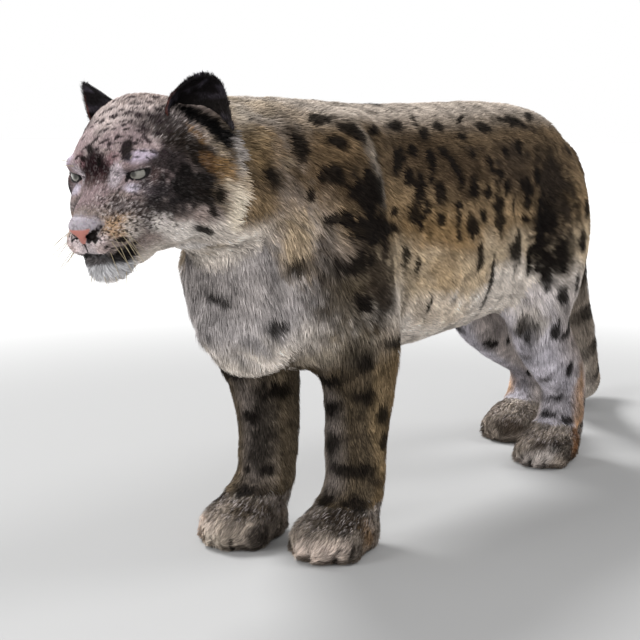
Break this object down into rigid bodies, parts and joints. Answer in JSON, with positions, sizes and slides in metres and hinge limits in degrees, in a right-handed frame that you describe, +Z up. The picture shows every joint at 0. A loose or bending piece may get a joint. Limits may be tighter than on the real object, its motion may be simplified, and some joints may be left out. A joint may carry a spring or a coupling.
{
  "type": "snow leopard",
  "caption": "Life-size snow leopard standing still with its head low and turned to its left, broad furred paws, small rounded ears and a long thick tail.",
  "frame": {"origin": "on the floor under the middle of the animal's bounding box", "axes": "+X forward from tail to head, +Y to the animal's left, +Z up"},
  "size_m": [1.6016, 0.3274, 0.6236],
  "materials": {
    "fur_back": "short fur, golden tan and grey with dark blotches",
    "fur_pale": "short pale cream-grey fur",
    "fur_dark": "short charcoal fur",
    "eye": "wet pale grey-green",
    "nose_leather": "moist pink-brown leather"
  },
  "bodies": {
    "root": {"torso": "fur_back", "neck": "fur_back", "head": "fur_back", "jaw": "fur_pale", "nose": "nose_leather", "eye_left": "eye", "eye_right": "eye", "ear_left": "fur_dark", "ear_right": "fur_dark", "foreleg_left_upper": "fur_back", "foreleg_left_lower": "fur_back", "forepaw_left": "fur_pale", "foreleg_right_upper": "fur_back", "foreleg_right_lower": "fur_back", "forepaw_right": "fur_pale", "hindleg_left_thigh": "fur_back", "hindleg_left_shank": "fur_back", "hindpaw_left": "fur_pale", "hindleg_right_thigh": "fur_back", "hindleg_right_shank": "fur_back", "hindpaw_right": "fur_pale", "tail_base": "fur_back", "tail_middle": "fur_back", "tail_tip": "fur_back"}
  },
  "joints": []
}
